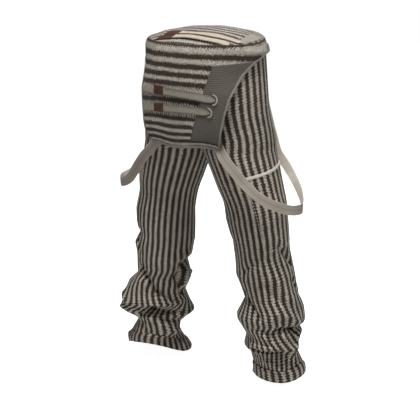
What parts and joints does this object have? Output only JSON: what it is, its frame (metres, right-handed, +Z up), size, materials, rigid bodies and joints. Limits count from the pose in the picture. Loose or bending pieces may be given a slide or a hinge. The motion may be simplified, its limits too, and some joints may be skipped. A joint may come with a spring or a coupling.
{
  "type": "bib overalls",
  "caption": "Striped bib overalls worn down: two baggy legs, bib folded over the front, back yoke over the waist, webbing straps looped round the thighs.",
  "frame": {"origin": "centre of the bounding box at the height of the hems' lower edges", "axes": "+Z up along the legs, +X to the wearer's left, -Y the wearer's front"},
  "size_m": [0.6314, 0.288, 1.026],
  "materials": {
    "striped_knit": "thick knit, dark brown and warm grey stripes",
    "ribbed_knit": "fine ribbed knit",
    "webbing": "cotton webbing",
    "tab_cotton": "close cotton twill",
    "leather": "dark brown, matt",
    "binding_tape": "narrow woven tape"
  },
  "bodies": {
    "trousers": {"left_front_panel": "striped_knit", "left_back_panel": "striped_knit", "left_hem": "striped_knit", "right_front_panel": "striped_knit", "right_back_panel": "striped_knit", "right_hem": "striped_knit", "front_waistband": "striped_knit", "back_waistband": "striped_knit", "left_thigh_pocket": "striped_knit", "left_pocket_piping": "webbing", "left_strap": "webbing", "left_strap_tack": "webbing", "right_thigh_pocket": "striped_knit", "right_pocket_piping": "webbing", "right_strap": "webbing", "right_strap_tack": "webbing"},
    "bib": {"bib_panel": "striped_knit", "left_edge_binding": "binding_tape", "right_edge_binding": "binding_tape", "bottom_binding": "binding_tape", "rib_panel": "ribbed_knit", "upper_tab_base": "tab_cotton", "lower_tab_base": "tab_cotton", "upper_keeper": "leather", "lower_keeper": "leather", "upper_tip_loop": "webbing", "lower_tip_loop": "webbing", "left_strap_patch": "webbing", "right_strap_patch": "webbing"},
    "yoke": {"yoke_panel": "striped_knit", "yoke_edge_binding": "binding_tape", "yoke_rib_panel": "ribbed_knit", "yoke_back_keeper": "leather", "yoke_front_keeper": "leather"},
    "upper_tab": {"upper_tab": "tab_cotton"},
    "lower_tab": {"lower_tab": "tab_cotton"},
    "yoke_back_tab": {"yoke_back_tab": "tab_cotton"},
    "yoke_front_tab": {"yoke_front_tab": "tab_cotton"}
  },
  "joints": [
    {"name": "bib_lift", "type": "hinge", "parent": "trousers", "child": "bib", "pos_m": [0, -0.1346, 0.987], "axis": [-1, 0, 0], "range_deg": [0, 150], "deforming": ["left_strap", "right_strap"]},
    {"name": "yoke_lift", "type": "hinge", "parent": "trousers", "child": "yoke", "pos_m": [0, 0.1204, 1.011], "axis": [-1, 0, 0], "range_deg": [0, 90]},
    {"name": "upper_tab_lift", "type": "hinge", "parent": "bib", "child": "upper_tab", "pos_m": [-0.0437, -0.1417, 0.865], "axis": [0, 0, -1], "range_deg": [0, 90]},
    {"name": "lower_tab_lift", "type": "hinge", "parent": "bib", "child": "lower_tab", "pos_m": [-0.0437, -0.1416, 0.819], "axis": [0, 0, -1], "range_deg": [0, 90]},
    {"name": "yoke_back_tab_lift", "type": "hinge", "parent": "yoke", "child": "yoke_back_tab", "pos_m": [-0.051, -0.0498, 1.0175], "axis": [0, -1, 0], "range_deg": [0, 90]},
    {"name": "yoke_front_tab_lift", "type": "hinge", "parent": "yoke", "child": "yoke_front_tab", "pos_m": [-0.054, -0.0712, 1.0118], "axis": [0, -1, 0], "range_deg": [0, 90]}
  ]
}
